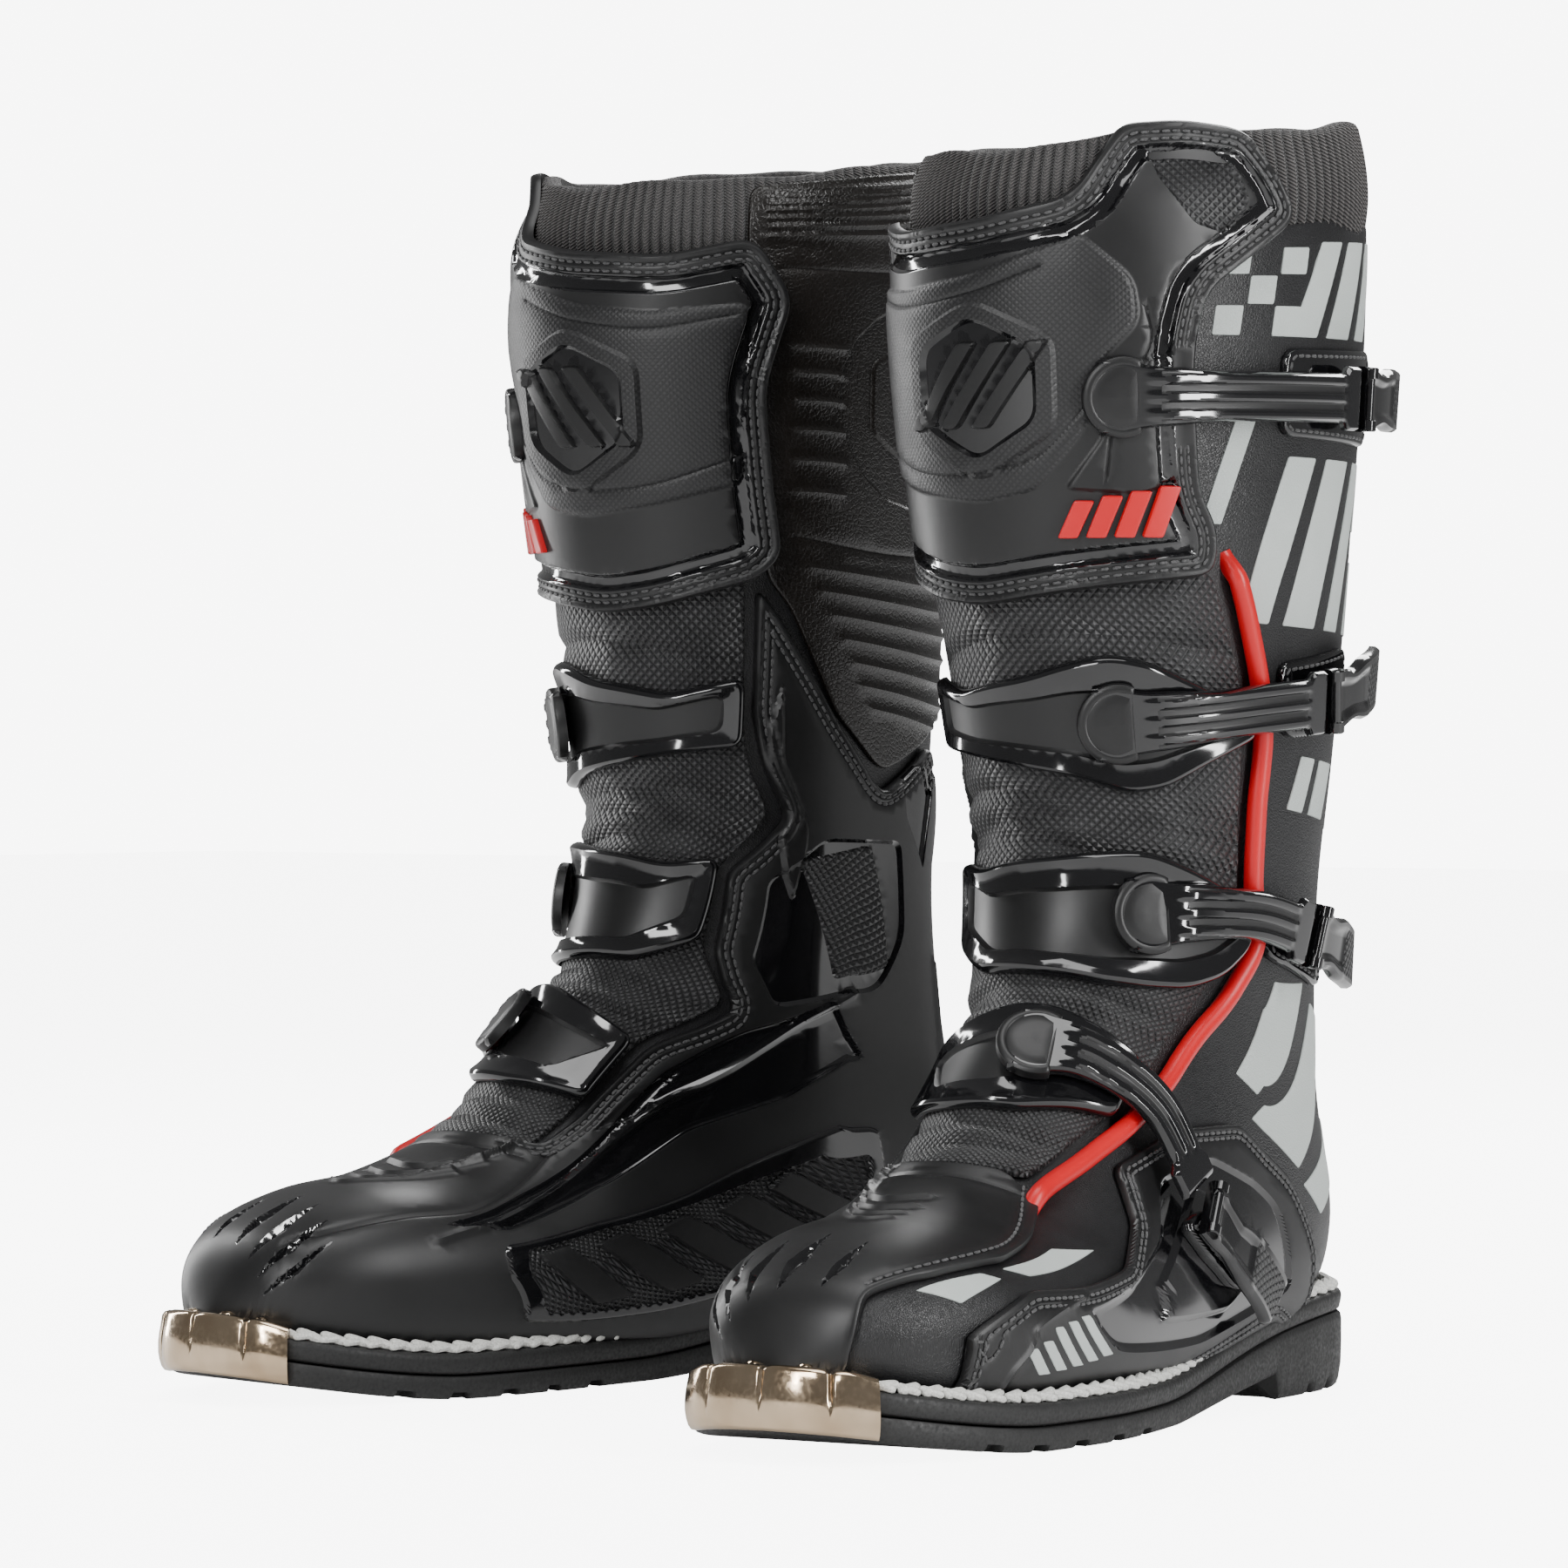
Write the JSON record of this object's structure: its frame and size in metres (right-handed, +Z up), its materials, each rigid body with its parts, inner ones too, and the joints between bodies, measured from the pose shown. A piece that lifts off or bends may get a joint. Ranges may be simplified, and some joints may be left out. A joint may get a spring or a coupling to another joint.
{
  "type": "pair of motocross boots",
  "caption": "Tall off-road riding boots with hinged shin guards, swivelling closure straps with buckle levers, padded instep, moulded shells, stitched welts and metal toe caps.",
  "frame": {"origin": "on the floor, at the middle of the pair's bounding box", "axes": "+Z up, toes towards -Y, the wearer's left boot towards +X; each boot turns outwards from -Y"},
  "size_m": [0.326, 0.3398, 0.3872],
  "materials": {
    "sole_rubber": "matt, moulded tread",
    "welt_rubber": "matt, with off-white stitching",
    "shank_steel": "plain",
    "insole_board": "fabric-covered board",
    "toe_cap_metal": "warm gold chrome",
    "boot_leather": "fine grain, with pale printed graphics",
    "embossed_leather": "embossed, brownish black",
    "knit_textile": "ribbed knit",
    "padded_textile": "padded, with small raised dots",
    "shell_moulding": "satin, with rolled edges",
    "strap_moulding": "ribbed, glossy",
    "gloss_moulding": "glossy",
    "red_piping": "satin red"
  },
  "bodies": {
    "left_boot": {"left_outsole": "sole_rubber", "left_midsole": "welt_rubber", "left_shank": "shank_steel", "left_insole": "insole_board", "left_toe_cap": "toe_cap_metal", "left_foot_upper": "boot_leather", "left_leg_leather": "boot_leather", "left_collar_lining": "knit_textile", "left_calf_guard": "embossed_leather", "left_bellows": "padded_textile", "left_medial_shell": "shell_moulding", "left_toe_guard": "shell_moulding", "left_lateral_shell": "gloss_moulding", "left_piping": "red_piping", "left_band_2": "shell_moulding", "left_band_3": "shell_moulding", "left_band_4": "shell_moulding", "left_catch_1": "gloss_moulding", "left_catch_2": "gloss_moulding", "left_catch_3": "gloss_moulding", "left_catch_4": "gloss_moulding"},
    "left_shin": {"left_shin_plate": "shell_moulding"},
    "left_closure_strap_1": {"left_strap_1": "strap_moulding"},
    "left_closure_lever_1": {"left_lever_1": "gloss_moulding"},
    "left_closure_strap_2": {"left_strap_2": "strap_moulding"},
    "left_closure_lever_2": {"left_lever_2": "gloss_moulding"},
    "left_closure_strap_3": {"left_strap_3": "strap_moulding"},
    "left_closure_lever_3": {"left_lever_3": "gloss_moulding"},
    "left_closure_strap_4": {"left_strap_4": "strap_moulding"},
    "left_closure_lever_4": {"left_lever_4": "gloss_moulding"},
    "right_boot": {"right_outsole": "sole_rubber", "right_midsole": "welt_rubber", "right_shank": "shank_steel", "right_insole": "insole_board", "right_toe_cap": "toe_cap_metal", "right_foot_upper": "boot_leather", "right_leg_leather": "boot_leather", "right_collar_lining": "knit_textile", "right_calf_guard": "embossed_leather", "right_bellows": "padded_textile", "right_medial_shell": "shell_moulding", "right_toe_guard": "shell_moulding", "right_lateral_shell": "gloss_moulding", "right_piping": "red_piping", "right_band_2": "shell_moulding", "right_band_3": "shell_moulding", "right_band_4": "shell_moulding", "right_catch_1": "gloss_moulding", "right_catch_2": "gloss_moulding", "right_catch_3": "gloss_moulding", "right_catch_4": "gloss_moulding"},
    "right_shin": {"right_shin_plate": "shell_moulding"},
    "right_closure_strap_1": {"right_strap_1": "strap_moulding"},
    "right_closure_lever_1": {"right_lever_1": "gloss_moulding"},
    "right_closure_strap_2": {"right_strap_2": "strap_moulding"},
    "right_closure_lever_2": {"right_lever_2": "gloss_moulding"},
    "right_closure_strap_3": {"right_strap_3": "strap_moulding"},
    "right_closure_lever_3": {"right_lever_3": "gloss_moulding"},
    "right_closure_strap_4": {"right_strap_4": "strap_moulding"},
    "right_closure_lever_4": {"right_lever_4": "gloss_moulding"}
  },
  "joints": [
    {"name": "right_boot_apart", "type": "slide", "parent": "left_boot", "child": "right_boot", "axis": [-1, 0, 0], "range_m": [0, 0.25]},
    {"name": "left_shin_plate_hinge", "type": "hinge", "parent": "left_boot", "child": "left_shin", "pos_m": [0.0366, 0.00246, 0.30518], "axis": [0.0426, 0.0622, -0.9972], "range_deg": [0, 40]},
    {"name": "left_strap_1_swivel", "type": "hinge", "parent": "left_shin", "child": "left_closure_strap_1", "pos_m": [0.12962, -0.01565, 0.29871], "axis": [0.7111, -0.6951, -0.106], "range_deg": [-6, 6]},
    {"name": "left_lever_1_hinge", "type": "hinge", "parent": "left_closure_strap_1", "child": "left_closure_lever_1", "pos_m": [0.15696, 0.07243, 0.30048], "axis": [-0.0766, 0.0172, -0.9969], "range_deg": [0, 95]},
    {"name": "left_strap_2_swivel", "type": "hinge", "parent": "left_boot", "child": "left_closure_strap_2", "pos_m": [0.11972, -0.00476, 0.20371], "axis": [0.6422, -0.7556, -0.1291], "range_deg": [-6, 6]},
    {"name": "left_lever_2_hinge", "type": "hinge", "parent": "left_closure_strap_2", "child": "left_closure_lever_2", "pos_m": [0.1482, 0.0658, 0.21007], "axis": [-0.1172, 0.1634, -0.9796], "range_deg": [0, 95]},
    {"name": "left_strap_3_swivel", "type": "hinge", "parent": "left_boot", "child": "left_closure_strap_3", "pos_m": [0.12511, 0.00409, 0.14771], "axis": [0.8276, -0.5542, 0.0894], "range_deg": [-6, 6]},
    {"name": "left_lever_3_hinge", "type": "hinge", "parent": "left_closure_strap_3", "child": "left_closure_lever_3", "pos_m": [0.14091, 0.06829, 0.14011], "axis": [-0.0754, -0.2688, -0.9602], "range_deg": [0, 95]},
    {"name": "left_strap_4_swivel", "type": "hinge", "parent": "left_boot", "child": "left_closure_strap_4", "pos_m": [0.11428, -0.03667, 0.11019], "axis": [0.4829, -0.5899, 0.6471], "range_deg": [0, 6]},
    {"name": "left_lever_4_hinge", "type": "hinge", "parent": "left_closure_strap_4", "child": "left_closure_lever_4", "pos_m": [0.14979, 0.00167, 0.06328], "axis": [0.261, -0.593, -0.7617], "range_deg": [0, 95]},
    {"name": "right_shin_plate_hinge", "type": "hinge", "parent": "right_boot", "child": "right_shin", "pos_m": [-0.0366, 0.02846, 0.30518], "axis": [0.0426, -0.0622, 0.9972], "range_deg": [0, 40]},
    {"name": "right_strap_1_swivel", "type": "hinge", "parent": "right_shin", "child": "right_closure_strap_1", "pos_m": [-0.12962, 0.01035, 0.29871], "axis": [0.7111, 0.6951, 0.106], "range_deg": [-6, 6]},
    {"name": "right_lever_1_hinge", "type": "hinge", "parent": "right_closure_strap_1", "child": "right_closure_lever_1", "pos_m": [-0.15696, 0.09843, 0.30048], "axis": [-0.0766, -0.0172, 0.9969], "range_deg": [0, 95]},
    {"name": "right_strap_2_swivel", "type": "hinge", "parent": "right_boot", "child": "right_closure_strap_2", "pos_m": [-0.11972, 0.02124, 0.20371], "axis": [0.6422, 0.7556, 0.1291], "range_deg": [-6, 6]},
    {"name": "right_lever_2_hinge", "type": "hinge", "parent": "right_closure_strap_2", "child": "right_closure_lever_2", "pos_m": [-0.1482, 0.0918, 0.21007], "axis": [-0.1172, -0.1634, 0.9796], "range_deg": [0, 95]},
    {"name": "right_strap_3_swivel", "type": "hinge", "parent": "right_boot", "child": "right_closure_strap_3", "pos_m": [-0.12511, 0.03009, 0.14771], "axis": [0.8276, 0.5542, -0.0894], "range_deg": [-6, 6]},
    {"name": "right_lever_3_hinge", "type": "hinge", "parent": "right_closure_strap_3", "child": "right_closure_lever_3", "pos_m": [-0.14091, 0.09429, 0.14011], "axis": [-0.0754, 0.2688, 0.9602], "range_deg": [0, 95]},
    {"name": "right_strap_4_swivel", "type": "hinge", "parent": "right_boot", "child": "right_closure_strap_4", "pos_m": [-0.11428, -0.01067, 0.11019], "axis": [0.4829, 0.5899, -0.6471], "range_deg": [0, 6]},
    {"name": "right_lever_4_hinge", "type": "hinge", "parent": "right_closure_strap_4", "child": "right_closure_lever_4", "pos_m": [-0.14979, 0.02767, 0.06328], "axis": [0.261, 0.593, 0.7617], "range_deg": [0, 95]}
  ]
}
